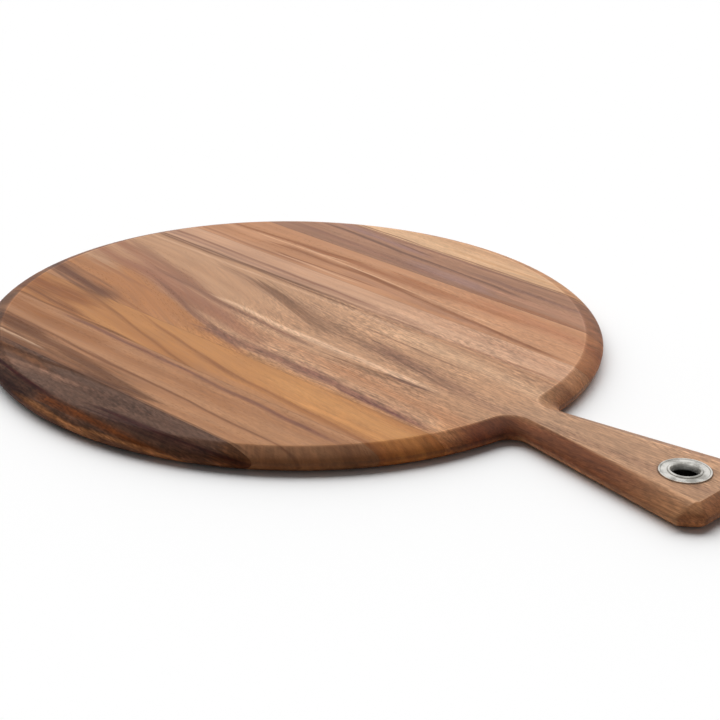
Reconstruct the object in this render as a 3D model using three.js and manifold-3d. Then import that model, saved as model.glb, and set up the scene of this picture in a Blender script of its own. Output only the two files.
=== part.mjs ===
import * as THREE from "three";
import { mergeVertices, toCreasedNormals } from "three/addons/utils/BufferGeometryUtils.js";
import Module from "manifold-3d";

// Round serving board with a flared handle, glued up from staves, with a metal hanging eyelet.
// Millimetres, +Z up. The origin is the centre of the disc on the face that the board rests on,
// and the handle runs along +X.

// Board
const discRadius = 178;
const boardThickness = 12;

// Handle, measured along the rim's widest line
const handleLength = 125; // from the edge of the disc to the end of the handle
const neckWidth = 33; // where the handle leaves the disc
const endWidth = 75;
const neckFillet = 8;
const endCornerClip = 11; // taken off each edge at the two corners of the end
const clipRounding = 0.45; // radius at the clipped corner's own two edges, as a share of the clip

// Top bevel, from the widest line up to the edge of the flat top
const discBevel = 10.7;
const endFaceBevel = 8;
const neckFlat = 16; // width of the flat top where the handle leaves the disc
const endFlat = 44.4; // and at the end of the flat top
const creaseNeckFillet = 13; // the fillet and the corner on the edge of the flat top
const creaseEndClip = 1.2;
const widestHeight = 6.5; // the widest line above the resting face
const bevelFullness = 0.5; // share of the bevel's drop where its first slope meets the widest line

// Underside: a rounded edge between the widest line and the flat resting face
const undersideInset = 9;

// Staves, counted from the handle stave out to each side
const handleStaveMargin = 0.5; // wood of the handle stave beside the widest part of the handle
const handleStaveNearWood = 21; // more of it on the near side
const farStaveWidths = [24, 43, 38];
const nearStaveWidths = [32, 48];
const farRimStave = 35; // across the middle of the last stave, cut round by the rim
const nearRimStave = 39;

// Eyelet: a flange on the top face, a barrel through the wood, an end rolled over a washer
const eyeletFromEnd = 31;
const eyeletBore = 14;
const eyeletWall = 1;
const flangeDiameter = 26.5;
const bandHeight = 0.55; // the plain band between lip and bead
const lipWidth = 1.7; // rounded lip round the bore
const lipRise = 0.75;
const beadWidth = 0.9; // rounded bead round the flange
const beadRise = 0.25;
const rollReach = 1.5; // how far the rolled end stands out from the barrel
const rollThickness = 0.45;

// Washer, sunk in the resting face
const washerDiameter = 25;
const washerThickness = 1;
const washerRound = 0.25;
const restClearance = 0.2; // the rolled end stays this far above the resting face
const fitClearance = 0.3; // round the barrel and round the washer

// Smoothness of the round stretches
const discSteps = 76; // over half the disc
const filletSteps = 9;
const clipSteps = 3;
const edgeSteps = 5; // along the straight side of the handle
const bevelSteps = 6;
const undersideSteps = 4;
const latheSteps = 48;
const ridgeSteps = 6;
const sharpAngle = 0.4; // faces that meet at more than this are shaded as an edge
const weldDistance = 1e-4;

// Looks
const woodRoughness = 0.55;
const metalRoughness = 0.3;
const handleColour = 0xb38a66;
const farColours = [0xb58560, 0xb9793f, 0x99694c, 0xc79a66];
const nearColours = [0xbb8148, 0x9c6c50, 0x5a4136];
const metalColour = 0xc9c7c2;

// Sizes that follow
const handleEnd = discRadius + handleLength;
const handleStaveFar = endWidth / 2 + handleStaveMargin;
const handleStaveNear = handleStaveFar + handleStaveNearWood;
const bevelDrop = boardThickness - widestHeight;
const bevelShoulder = bevelFullness * bevelDrop;
const eyeletX = handleEnd - eyeletFromEnd;
const boreRadius = eyeletBore / 2;
const barrelRadius = boreRadius + eyeletWall;
const washerBottom = restClearance + rollThickness;
const recessDepth = washerBottom + washerThickness;
const clipLoss = 2 - Math.SQRT2; // a clip's loss for each unit that the edges beside it move in

const wasm = await Module();
wasm.setup();

function toSolid(geometry) {
  const bare = geometry.clone();
  bare.deleteAttribute("normal");
  bare.deleteAttribute("uv");
  const merged = mergeVertices(bare, weldDistance);
  return new wasm.Manifold(
    new wasm.Mesh({
      numProp: 3,
      vertProperties: merged.getAttribute("position").array,
      triVerts: new Uint32Array(merged.index.array),
    }),
  );
}

function toGeometry(solid) {
  const mesh = solid.getMesh();
  const geometry = new THREE.BufferGeometry();
  geometry.setAttribute("position", new THREE.BufferAttribute(mesh.vertProperties, 3));
  geometry.setIndex(new THREE.BufferAttribute(mesh.triVerts, 1));
  return toCreasedNormals(geometry, sharpAngle);
}

function arcPoints(centre, radius, startAngle, endAngle, steps) {
  return Array.from({ length: steps + 1 }, (_, i) => {
    const angle = startAngle + ((endAngle - startAngle) * i) / steps;
    return new THREE.Vector2(
      centre.x + radius * Math.cos(angle),
      centre.y + radius * Math.sin(angle),
    );
  });
}

// The corner of the handle's end, clipped off, with both edges of the clip rounded.
function clippedCorner(tip, sideAngle, clip) {
  const onEnd = new THREE.Vector2(tip.x, tip.y - clip);
  const onSide = new THREE.Vector2(
    tip.x - clip * Math.cos(sideAngle),
    tip.y - clip * Math.sin(sideAngle),
  );
  const clipTurn = (Math.PI / 2 + sideAngle) / 2; // half of the turn from end to side
  const radius = clipRounding * clip;
  const back = radius * Math.tan(clipTurn / 2); // from the edge to where its rounding starts
  const endCentre = new THREE.Vector2(onEnd.x - radius, onEnd.y - back);
  const sideTurn = 2 * clipTurn;
  const sideCentre = new THREE.Vector2(
    onSide.x - back * Math.cos(sideAngle) - radius * Math.cos(sideTurn),
    onSide.y - back * Math.sin(sideAngle) - radius * Math.sin(sideTurn),
  );
  return [
    ...arcPoints(endCentre, radius, 0, clipTurn, clipSteps),
    ...arcPoints(sideCentre, radius, clipTurn, sideTurn, clipSteps),
  ];
}

// A closed outline of the board, anticlockwise from the end of the handle. Every outline has the same
// number of points, so outlines at different heights can be joined point by point.
function boardOutline({ radius, neckHalf, endHalf, end, fillet, clip }) {
  const slope = (endHalf - neckHalf) / (end - discRadius);
  const sideAngle = Math.atan(slope);
  const lean = Math.hypot(1, slope);
  const corner = clippedCorner(new THREE.Vector2(end, endHalf), sideAngle, clip);

  // The fillet circle touches the disc and the side of the handle from outside.
  const start = neckHalf - slope * discRadius + fillet * lean;
  const a = lean * lean;
  const b = 2 * slope * start;
  const c = start * start - (radius + fillet) ** 2;
  const filletX = (-b + Math.sqrt(b * b - 4 * a * c)) / (2 * a);
  const filletCentre = new THREE.Vector2(filletX, start + slope * filletX);
  const discAngle = filletCentre.angle();
  const filletArc = arcPoints(
    filletCentre,
    fillet,
    sideAngle - Math.PI / 2,
    discAngle - Math.PI,
    filletSteps,
  );

  const from = corner.at(-1);
  const to = filletArc[0];
  const side = Array.from({ length: edgeSteps - 1 }, (_, i) =>
    from.clone().lerp(to, (i + 1) / edgeSteps),
  );
  const discArc = arcPoints(new THREE.Vector2(), radius, discAngle, Math.PI, discSteps).slice(1);
  const upper = [...corner, ...side, ...filletArc, ...discArc];
  const lower = upper
    .slice(0, -1)
    .reverse()
    .map((p) => new THREE.Vector2(p.x, -p.y));
  return [...upper, ...lower];
}

// The widest line of the rim, moved in by the same distance all round.
function offsetOutline(inset) {
  return boardOutline({
    radius: discRadius - inset,
    neckHalf: neckWidth / 2 - inset,
    endHalf: endWidth / 2 - inset,
    end: handleEnd - inset,
    fillet: neckFillet + inset,
    clip: endCornerClip - clipLoss * inset,
  });
}

function creaseOutline() {
  return boardOutline({
    radius: discRadius - discBevel,
    neckHalf: neckFlat / 2,
    endHalf: endFlat / 2,
    end: handleEnd - endFaceBevel,
    fillet: creaseNeckFillet,
    clip: creaseEndClip,
  });
}

function between(outlineA, outlineB, share, height) {
  return outlineA.map((p, i) => {
    const q = p.clone().lerp(outlineB[i], share);
    return new THREE.Vector3(q.x, q.y, height);
  });
}

// Rings of the rim from the resting face up to the edge of the flat top.
function rimRings() {
  const widest = offsetOutline(0);
  const rest = offsetOutline(undersideInset);
  const crease = creaseOutline();
  const rings = [];
  for (let i = 0; i < undersideSteps; i++) {
    const angle = (Math.PI / 2) * (i / undersideSteps);
    rings.push(between(rest, widest, Math.sin(angle), widestHeight * (1 - Math.cos(angle))));
  }
  for (let i = 0; i <= bevelSteps; i++) {
    const t = i / bevelSteps;
    const drop = 2 * t * (1 - t) * bevelShoulder + (1 - t) ** 2 * bevelDrop;
    rings.push(between(widest, crease, t * t, boardThickness - drop));
  }
  return rings;
}

// A closed solid through a stack of rings, with flat ends.
function loft(rings) {
  const count = rings[0].length;
  const points = rings.flat();
  const index = [];
  for (let ring = 0; ring + 1 < rings.length; ring++) {
    for (let i = 0; i < count; i++) {
      const a = ring * count + i;
      const b = ring * count + ((i + 1) % count);
      index.push(a, b, b + count, a, b + count, a + count);
    }
  }
  const flat = (ring) => ring.map((p) => new THREE.Vector2(p.x, p.y));
  const top = (rings.length - 1) * count;
  for (const [a, b, c] of THREE.ShapeUtils.triangulateShape(flat(rings[0]), [])) {
    index.push(a, c, b);
  }
  for (const [a, b, c] of THREE.ShapeUtils.triangulateShape(flat(rings.at(-1)), [])) {
    index.push(top + a, top + b, top + c);
  }
  return new THREE.BufferGeometry().setFromPoints(points).setIndex(index);
}

// The sawn strip of the blank between two joint lines.
function strip(blank, fromY, toY) {
  const reach = 2 * (handleEnd + discRadius);
  const slab = new THREE.BoxGeometry(reach, toY - fromY, 3 * boardThickness);
  slab.translate(0, (fromY + toY) / 2, boardThickness / 2);
  return blank.intersect(toSolid(slab));
}

// Joint lines of one side, from the handle stave out to the stave at the rim. The staves between them
// fill the disc in the proportions of their widths.
function jointLines(first, widths, rimStave) {
  const total = widths.reduce((sum, width) => sum + width, 0);
  const fill = (discRadius - rimStave - first) / total;
  const lines = [first];
  for (const width of widths) {
    lines.push(lines.at(-1) + fill * width);
  }
  return lines;
}

function disc(radius, bottom, top) {
  const geometry = new THREE.CylinderGeometry(radius, radius, top - bottom, latheSteps);
  geometry.rotateX(Math.PI / 2);
  geometry.translate(eyeletX, 0, (top + bottom) / 2);
  return toSolid(geometry);
}

function handleStave(blank) {
  return strip(blank, -handleStaveNear, handleStaveFar)
    .subtract(disc(barrelRadius + fitClearance, -boardThickness, 2 * boardThickness))
    .subtract(disc(washerDiameter / 2 + fitClearance, -boardThickness, recessDepth));
}

// A ring turned from a profile of radius and height, listed clockwise and closed on itself.
function turned(profile) {
  const closed = [...profile, profile[0]].reverse();
  const points = closed.map(([radius, height]) => new THREE.Vector2(radius, height));
  return new THREE.LatheGeometry(points, latheSteps).rotateX(Math.PI / 2);
}

// A rounded ridge of a profile, from one radius to another.
function ridge(fromRadius, toRadius, base, rise) {
  const middle = (fromRadius + toRadius) / 2;
  const half = (toRadius - fromRadius) / 2;
  return Array.from({ length: ridgeSteps + 1 }, (_, i) => {
    const angle = (Math.PI * i) / ridgeSteps;
    return [middle - half * Math.cos(angle), base + rise * Math.sin(angle)];
  });
}

function eyelet() {
  const flange = flangeDiameter / 2;
  const band = boardThickness + bandHeight;
  return turned([
    [barrelRadius, washerBottom],
    ...ridge(barrelRadius + rollReach, boreRadius, washerBottom, -rollThickness),
    ...ridge(boreRadius, boreRadius + lipWidth, band, lipRise),
    ...ridge(flange - beadWidth, flange, band, beadRise),
    [flange, boardThickness],
    [barrelRadius, boardThickness],
  ]);
}

function washer() {
  const inner = barrelRadius + fitClearance;
  const outer = washerDiameter / 2;
  return turned([
    [inner, recessDepth],
    [outer, recessDepth],
    [outer, washerBottom + washerRound],
    [outer - washerRound, washerBottom],
    [inner, washerBottom],
  ]);
}

const board = new THREE.Group();

function addPiece(name, geometry, colour, roughness, metalness) {
  const material = new THREE.MeshStandardMaterial({ color: colour, roughness, metalness });
  const mesh = new THREE.Mesh(geometry, material);
  mesh.name = name;
  board.add(mesh);
  return mesh;
}

function addSideStaves(side, first, widths, rimStave, colours, direction) {
  const lines = jointLines(first, widths, rimStave);
  const pastRim = discRadius + boardThickness;
  lines.forEach((line, i) => {
    const outer = lines[i + 1] ?? pastRim;
    const [low, high] = [direction * line, direction * outer].sort((p, q) => p - q);
    const stave = toGeometry(strip(blank, low, high));
    addPiece(`${side}_stave_${i + 1}`, stave, colours[i], woodRoughness, 0);
  });
}

const blank = toSolid(loft(rimRings()));
addPiece("handle_stave", toGeometry(handleStave(blank)), handleColour, woodRoughness, 0);
addSideStaves("far", handleStaveFar, farStaveWidths, farRimStave, farColours, 1);
addSideStaves("near", handleStaveNear, nearStaveWidths, nearRimStave, nearColours, -1);

addPiece("eyelet", eyelet(), metalColour, metalRoughness, 1).position.x = eyeletX;
addPiece("eyelet_washer", washer(), metalColour, metalRoughness, 1).position.x = eyeletX;

export default board;
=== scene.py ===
import math

import bmesh
import bpy
from mathutils import Matrix, Vector


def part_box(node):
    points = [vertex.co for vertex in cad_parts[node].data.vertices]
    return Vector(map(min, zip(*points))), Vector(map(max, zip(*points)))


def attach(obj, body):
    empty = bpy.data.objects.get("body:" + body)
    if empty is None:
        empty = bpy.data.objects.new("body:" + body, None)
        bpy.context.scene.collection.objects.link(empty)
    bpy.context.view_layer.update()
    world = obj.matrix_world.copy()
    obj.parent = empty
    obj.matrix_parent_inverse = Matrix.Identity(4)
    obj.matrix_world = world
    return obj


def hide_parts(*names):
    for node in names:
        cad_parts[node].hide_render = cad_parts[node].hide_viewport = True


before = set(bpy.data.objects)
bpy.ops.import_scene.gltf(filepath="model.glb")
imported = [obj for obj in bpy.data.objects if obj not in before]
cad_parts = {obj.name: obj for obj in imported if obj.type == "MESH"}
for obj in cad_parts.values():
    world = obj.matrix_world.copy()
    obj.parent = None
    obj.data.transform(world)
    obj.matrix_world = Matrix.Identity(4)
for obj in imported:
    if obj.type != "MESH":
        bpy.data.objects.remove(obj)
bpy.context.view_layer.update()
print("frame loaded:", len(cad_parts), "nodes")

mm = 0.001
weldGap = 1e-7  # points this close are joined
samePlace = 1e-6  # points this close count as one
handleLow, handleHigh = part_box("handle_stave")
eyeletLow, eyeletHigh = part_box("eyelet")
washerLow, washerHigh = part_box("eyelet_washer")
topFace = handleHigh.z
discRadius = -handleLow.x
eyeletX = (eyeletLow.x + eyeletHigh.x) / 2
flangeRadius = (eyeletHigh.x - eyeletLow.x) / 2
washerRadius = (washerHigh.x - washerLow.x) / 2
barrelRadius = 8 * mm
fitClearance = 0.3 * mm  # round the barrel and round the washer

# Shader helpers


def node(tree, kind, inputs=None, **settings):
    made = tree.nodes.new("ShaderNode" + kind)
    for key, value in settings.items():
        setattr(made, key, value)
    for key, value in (inputs or {}).items():
        if isinstance(value, bpy.types.NodeSocket):
            tree.links.new(value, made.inputs[key])
        else:
            made.inputs[key].default_value = value
    return made


def calc(tree, operation, a, b=0.0):
    return node(tree, "Math", {0: a, 1: b}, operation=operation).outputs[0]


def plus(tree, a, b):
    return calc(tree, "ADD", a, b)


def minus(tree, a, b):
    return calc(tree, "SUBTRACT", a, b)


def times(tree, product, *factors):
    for factor in factors:
        product = calc(tree, "MULTIPLY", product, factor)
    return product


def distance(tree, a, b):
    return calc(tree, "SQRT", plus(tree, times(tree, a, a), times(tree, b, b)))


def ease(tree, value, low, high, toLow=0.0, toHigh=1.0):
    ends = {"Value": value, "From Min": low, "From Max": high, "To Min": toLow, "To Max": toHigh}
    return node(tree, "MapRange", ends, interpolation_type="SMOOTHSTEP").outputs[0]


def mixNumber(tree, share, a, b):
    return node(tree, "MapRange", {"Value": share, "To Min": a, "To Max": b}).outputs[0]


def mixColour(tree, share, a, b, way="MIX"):
    return node(tree, "Mix", {0: share, 6: a, 7: b}, data_type="RGBA", blend_type=way).outputs[2]


def tint(tree, share, colour, factor):
    return mixColour(tree, share, colour, factor, "MULTIPLY")


def stretch(tree, place, scale):
    spot = node(tree, "CombineXYZ", dict(enumerate(place))).outputs[0]
    return node(tree, "VectorMath", {0: spot, 1: scale}, operation="MULTIPLY").outputs[0]


def noise(tree, place, scale, detail=2.0, rough=0.5):
    settings = {"Vector": stretch(tree, place, scale), "Scale": 1.0, "Detail": detail, "Roughness": rough}
    return node(tree, "TexNoise", settings).outputs["Fac"]


def addSockets(group, way, kind, labels):
    for label in labels:
        group.interface.new_socket(label, in_out=way, socket_type="NodeSocket" + kind)


def newMaterial(name):
    mat = bpy.data.materials.new(name)
    mat.use_nodes = True
    return mat, mat.node_tree, mat.node_tree.nodes["Principled BSDF"]


def feed(tree, shader, sockets):
    for label, socket in sockets.items():
        tree.links.new(socket, shader.inputs[label])


# Wood: every stave is cut from a solid of grain, so the top, the rim and the underside agree

sheen = 0.035  # what the finish adds to every colour under the white stage
darkest = 0.003


def tone(red, green, blue):
    # a colour as it looks on the lit board, turned into the linear colour of the wood itself
    linear = [((c / 255 + 0.055) / 1.055) ** 2.4 for c in (red, green, blue)]
    return (*(max(c - sheen, darkest) for c in linear), 1.0)


streakShape = {
    "swayScale": (0.016, 1.0, 1.0), "swayDetail": 1.0, "sway": 5.0,  # how the middle line wanders
    "threadScale": (0.014, 0.4, 1.0), "threadDetail": 3.0, "threadRough": 0.65, "layers": 0.1,
    "softness": 1.05, "endFray": 40.0,
}


def makeStreakGroup():
    # one streak of darker or lighter wood along a curved line, frayed at its sides and ends
    shape = streakShape
    group = bpy.data.node_groups.new("grainStreak", "ShaderNodeTree")
    addSockets(group, "INPUT", "Color", ("base", "tone"))
    addSockets(group, "INPUT", "Float", ("along", "across", "depth", "startX", "startY", "endX", "endY",
                                         "above", "below", "fadeIn", "fadeOut", "fade", "strength", "fray"))
    addSockets(group, "OUTPUT", "Color", ("colour",))
    given = group.nodes.new("NodeGroupInput").outputs

    # the middle line runs through the start and the end, and sways
    line = {"Value": given["along"], "From Min": given["startX"], "From Max": given["endX"],
            "To Min": given["startY"], "To Max": given["endY"]}
    middle = node(group, "MapRange", line, clamp=False).outputs[0]
    sway = noise(group, (given["along"], given["startY"], 0.0), shape["swayScale"], shape["swayDetail"])
    middle = plus(group, middle, times(group, minus(group, sway, 0.5), shape["sway"]))
    off = minus(group, given["across"], middle)

    layer = plus(group, times(group, given["depth"], shape["layers"]), given["startY"])
    threads = noise(group, (given["along"], off, layer), shape["threadScale"], shape["threadDetail"],
                    shape["threadRough"])
    fray = times(group, minus(group, threads, 0.5), given["fray"])
    upper = calc(group, "DIVIDE", off, given["above"])
    lower = times(group, calc(group, "DIVIDE", off, given["below"]), -1.0)
    body = minus(group, plus(group, fray, 1.0), calc(group, "MAXIMUM", upper, lower))
    body = ease(group, body, 0.0, shape["softness"])
    along = plus(group, given["along"], times(group, fray, shape["endFray"]))
    begins = ease(group, along, minus(group, given["fadeIn"], given["fade"]), given["fadeIn"])
    stops = ease(group, along, plus(group, given["fadeOut"], given["fade"]), given["fadeOut"])
    share = times(group, body, begins, stops, given["strength"])
    result = mixColour(group, share, given["base"], given["tone"])
    group.links.new(result, group.nodes.new("NodeGroupOutput").inputs["colour"])
    return group


fibreShape = {  # noises are stretched along the fibres, and scales are per millimetre
    "broad": {"along": 0.004, "across": 0.09},
    "bands": {"along": 0.009, "across": 0.26, "detail": 3.0, "rough": 0.6},
    "fine": {"along": 0.018, "across": 0.42, "rough": 0.6},
    "fibre": {"along": 0.07, "across": 1.6, "rough": 0.6, "depthShare": 1.0},
    "clouds": {"along": 0.02, "across": 0.05},
    "crowds": {"along": 0.006, "across": 0.16},
    "patches": {"along": 0.016, "across": 0.06, "detail": 1.0},
    "spread": (0.3, 0.7), "crowdEdge": (0.4, 0.65), "patchEdge": (0.36, 0.62, 0.5, 1.15),
    "poreCell": (0.2, 1.2, 1.5), "poreEdge": (0.38, 0.12),
    "skew": 0.2, "fleckScale": (0.085, 0.5, 0.3), "fleckDetail": 2.0, "fleckRough": 0.6, "fleckDepth": 0.5,
    "tickScale": (0.24, 0.66, 0.5), "tickDetail": 1.0, "tickDepth": 0.85,
}


def makeFibreGroup():
    # what all staves share: broad and narrow bands, fine lines, fibres, pores, flecks and clouds
    shape = fibreShape
    group = bpy.data.node_groups.new("woodFibre", "ShaderNodeTree")
    addSockets(group, "INPUT", "Float", ("along", "across", "thread", "depth", "seed"))
    addSockets(group, "OUTPUT", "Float", ("broad", "bands", "fine", "fibre", "pores", "flecks", "clouds"))
    given = group.nodes.new("NodeGroupInput").outputs
    result = group.nodes.new("NodeGroupOutput").inputs
    x, y, thread, z = (plus(group, given[label], given["seed"])
                       for label in ("along", "across", "thread", "depth"))

    def stretched(side, along, across, detail=2.0, rough=0.5, depthShare=0.3):
        return noise(group, (x, side, z), (along, across, across * depthShare), detail, rough)

    group.links.new(ease(group, stretched(y, **shape["broad"]), *shape["spread"]), result["broad"])
    group.links.new(stretched(y, **shape["bands"]), result["bands"])
    group.links.new(stretched(thread, **shape["fine"]), result["fine"])
    group.links.new(stretched(thread, **shape["fibre"]), result["fibre"])
    clouds = ease(group, stretched(thread, **shape["clouds"]), *shape["spread"], -1.0, 1.0)
    group.links.new(clouds, result["clouds"])

    # pores: short fine dashes along the fibres, crowded in some bands
    cell = stretch(group, (x, thread, z), shape["poreCell"])
    spot = node(group, "TexVoronoi", {"Vector": cell, "Scale": 1.0}).outputs["Distance"]
    crowd = ease(group, stretched(thread, **shape["crowds"]), *shape["crowdEdge"])
    group.links.new(times(group, ease(group, spot, *shape["poreEdge"]), crowd), result["pores"])

    # flecks: short marks askew to the fibres where the grain is interlocked
    askew = plus(group, thread, times(group, x, shape["skew"]))
    fleck = noise(group, (x, askew, z), shape["fleckScale"], shape["fleckDetail"], shape["fleckRough"])
    fleck = ease(group, fleck, *shape["spread"], -shape["fleckDepth"], shape["fleckDepth"])
    tick = noise(group, (x, askew, z), shape["tickScale"], shape["tickDetail"], shape["fleckRough"])
    tick = ease(group, tick, *shape["spread"], -shape["tickDepth"], shape["tickDepth"])
    patch = ease(group, stretched(thread, **shape["patches"]), *shape["patchEdge"])
    group.links.new(times(group, plus(group, fleck, tick), patch), result["flecks"])
    return group


streakGroup = makeStreakGroup()
fibreGroup = makeFibreGroup()

# Ranges in these three give where a change starts and stops, and then what it goes from and to

grainShade = {
    "wanderScale": (0.012, 0.03, 1.0), "darkBand": (0.48, 0.74), "paleBand": (0.50, 0.28),
    "lineTint": (0.70, 0.65, 0.68, 1.0), "paleTint": (1.12, 1.12, 1.10, 1.0),
    "clouds": 0.04, "level": 0.93, "fine": (0.25, 0.75), "fibre": (0.25, 0.75, 0.93, 1.06),
    "dashes": (0.32, 0.68, -1.0, 1.0), "fleckFade": 60, "pores": (0.0, 1.0, 1.0, 0.78),
    "glue": (0.1, 0.75, 0.84, 1.0), "flangeShadeReach": 1.1, "flangeShade": 0.4,
    "rough": (0.2, 0.8), "smoother": 0.06, "rougher": 0.08, "poreRough": 0.12,
    "poreDepth": 1.2, "bump": 0.3, "bumpHeight": 0.12 * mm,
}
rimShade = {
    "leavesTop": (0.99, 0.955), "leavesUnderside": (-0.97, -0.85),
    # the handle's end face gets painted shade
    "endGrain": (0.12, 0.5), "endFace": (0.75, 0.97, 1.0, 0.72),
    "strokeLean": 0.4, "strokeScale": (0.21, 0.06, 1.0), "strokeDetail": 4.0, "strokeRough": 0.72,
    "strokes": (0.34, 0.68, 1.15, 0.78),
    "patchScale": (0.07, 0.03, 1.0), "patchDetail": 1.0, "patches": (0.35, 0.65, 1.1, 0.88),
    # painted light and shade on the rim: darker under the top edge, lighter low down and underneath, a
    # highlight along the top edge
    "upper": (0.84, 0.5, 0.74, 1.02), "low": (0.75, 0.3), "underside": (0.0, -0.5, 1.0, 1.3),
    "creaseLitFrom": (0.9995, 0.997), "creaseLitTo": (0.97, 0.985), "leftEnd": (-118, -150), "leftShade": 0.62,
}
# where the painted shade on the handle's near side, and the duller far side, reach
handleSides = {
    "neck": (105, 135), "near": (-6, -14), "nearEnd": (315, 235), "nearTurn": (-0.55, 0.15, 0.5, 1.0),
    "farNeck": (178, 192), "far": (6, 12),
}


def grainPlace(tree, look, x, y, depth):
    # the fibres wander, lean through the thickness, follow the stave's curve and fan out above it
    slow = noise(tree, (x, y, look["seed"]), grainShade["wanderScale"])
    across = plus(tree, y, times(tree, minus(tree, slow, 0.5), look["wander"]))
    across = plus(tree, across, times(tree, depth, look["lean"]))
    flow = look["flow"]
    curve = ease(tree, x, flow["fromX"], flow["toX"], flow["fromY"], flow["toY"])
    off = minus(tree, across, curve)
    fan = calc(tree, "DIVIDE", flow["fanY"] - flow["fromY"], minus(tree, flow["fanY"], curve))
    upper = times(tree, calc(tree, "MAXIMUM", off, 0.0), fan)
    return across, off, plus(tree, upper, calc(tree, "MINIMUM", off, 0.0))


def grainColour(tree, look, wood, x, across, depth):
    colour = mixColour(tree, wood["broad"], look["light"], look["dark"])
    for line in look["streaks"]:
        given = {"base": colour, "along": x, "across": across, "depth": depth, **line}
        colour = node(tree, "Group", given, node_tree=streakGroup).outputs[0]

    # narrow bands: purple-brown lines and paler ones between them
    lines = ease(tree, wood["bands"], *grainShade["darkBand"], 0.0, look["lines"])
    colour = tint(tree, lines, colour, grainShade["lineTint"])
    lines = ease(tree, wood["bands"], *grainShade["paleBand"], 0.0, look["lines"])
    return tint(tree, lines, colour, grainShade["paleTint"])


def grainBrightness(tree, look, wood, x, y, joints):
    # clouds, fine lines, fibres, flecks and pores
    shade = grainShade
    level = plus(tree, times(tree, wood["clouds"], shade["clouds"]), shade["level"])
    fine = ease(tree, wood["fine"], *shade["fine"], 1.0 + look["fine"], 1.0 - look["fine"])
    fibre = ease(tree, wood["fibre"], *shade["fibre"])
    start, fade = look["fleckFrom"], shade["fleckFade"]
    dashes = ease(tree, x, start - fade, start + fade, 0.0, look["dashes"])
    dashes = times(tree, dashes, ease(tree, wood["fibre"], *shade["dashes"]))
    flecks = times(tree, wood["flecks"], ease(tree, x, start - fade, start, 0.0, look["flecks"]))
    pores = ease(tree, wood["pores"], *shade["pores"])
    bright = times(tree, level, fine, fibre, plus(tree, dashes, 1.0), plus(tree, flecks, 1.0), pores)

    # a hairline of glue at each joint, and a darker ring round the eyelet's flange: painted shade where the
    # flange sits on the wood, with some stain
    for jointY in joints:
        gap = calc(tree, "ABSOLUTE", minus(tree, y, jointY / mm))
        bright = times(tree, bright, ease(tree, gap, *shade["glue"]))
    if look["flange"]:
        apart = distance(tree, minus(tree, x, eyeletX / mm), y)
        flangeShade = ease(tree, apart, look["flange"], look["flange"] + shade["flangeShadeReach"], shade["flangeShade"], 1.0)
        bright = times(tree, bright, flangeShade)
    return bright


def shadeHandleSides(tree, look, x, y, up, side, colour):
    # painted shade: the near side of the handle, turned from the light, is darkest at the neck, and the far
    # side is duller
    span = handleSides
    neck = ease(tree, plus(tree, x, y), *span["neck"])
    near = times(tree, neck, ease(tree, y, *span["near"]), ease(tree, x, *span["nearEnd"]),
                 ease(tree, up, *span["nearTurn"]))
    colour = tint(tree, times(tree, side, near), colour, look["nearShadeTint"])
    far = times(tree, ease(tree, x, *span["farNeck"]), ease(tree, y, *span["far"]))
    return tint(tree, times(tree, side, far), colour, look["farSide"])


def shadeRim(tree, look, x, y, depth, colour, bright):
    # the rim is darker and redder, and its end grain more so: in part the oil that these take, in part
    # painted shade
    shade = rimShade
    normal = node(tree, "NewGeometry").outputs["Normal"]
    outX, _, up = node(tree, "SeparateXYZ", {0: normal}).outputs
    side = times(tree, ease(tree, up, *shade["leavesTop"]), ease(tree, up, *shade["leavesUnderside"]))
    endGrain = ease(tree, calc(tree, "ABSOLUTE", outX), *shade["endGrain"])
    colour = tint(tree, endGrain, colour, look["endTint"])
    colour = tint(tree, side, colour, look["rimTint"])
    if look["nearShadeTint"]:
        colour = shadeHandleSides(tree, look, x, y, up, side, colour)

    # strokes of end grain run down the rim, stronger in some patches
    arc = times(tree, calc(tree, "ARCTAN2", y, x), discRadius / mm)
    slanted = plus(tree, arc, times(tree, depth, shade["strokeLean"]))
    strokes = noise(tree, (slanted, depth, look["seed"]), shade["strokeScale"], shade["strokeDetail"],
                    shade["strokeRough"])
    patches = noise(tree, (arc, depth, look["seed"]), shade["patchScale"], shade["patchDetail"])
    strokes = times(tree, ease(tree, strokes, *shade["strokes"]), ease(tree, patches, *shade["patches"]))

    # painted light and shade: the bevel is darker under the top edge, a painted highlight runs along that
    # edge, and the lower rim is lighter
    upper = ease(tree, up, *shade["upper"])
    # painted bounce light from the table: the underside is lighter, and on some staves the lower rim as well
    low = times(tree, ease(tree, up, *shade["low"], 1.0, look["lowRim"]), ease(tree, up, *shade["underside"]))
    # a painted highlight along the top edge, where it catches the light
    creaseLit = times(tree, ease(tree, up, *shade["creaseLitFrom"]), ease(tree, up, *shade["creaseLitTo"]))
    leftEnd = times(tree, side, ease(tree, x, *shade["leftEnd"]))
    bright = times(tree, bright, *(mixNumber(tree, side, 1.0, part) for part in (strokes, upper, low)),
                   ease(tree, creaseLit, 0.0, 1.0, 1.0, 1.0 + look["creaseHighlight"]),
                   # painted shade on the handle's end face, which faces away from the light
                   ease(tree, outX, *shade["endFace"]),
                   ease(tree, leftEnd, 0.0, 1.0, 1.0, shade["leftShade"]))
    return colour, bright


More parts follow.
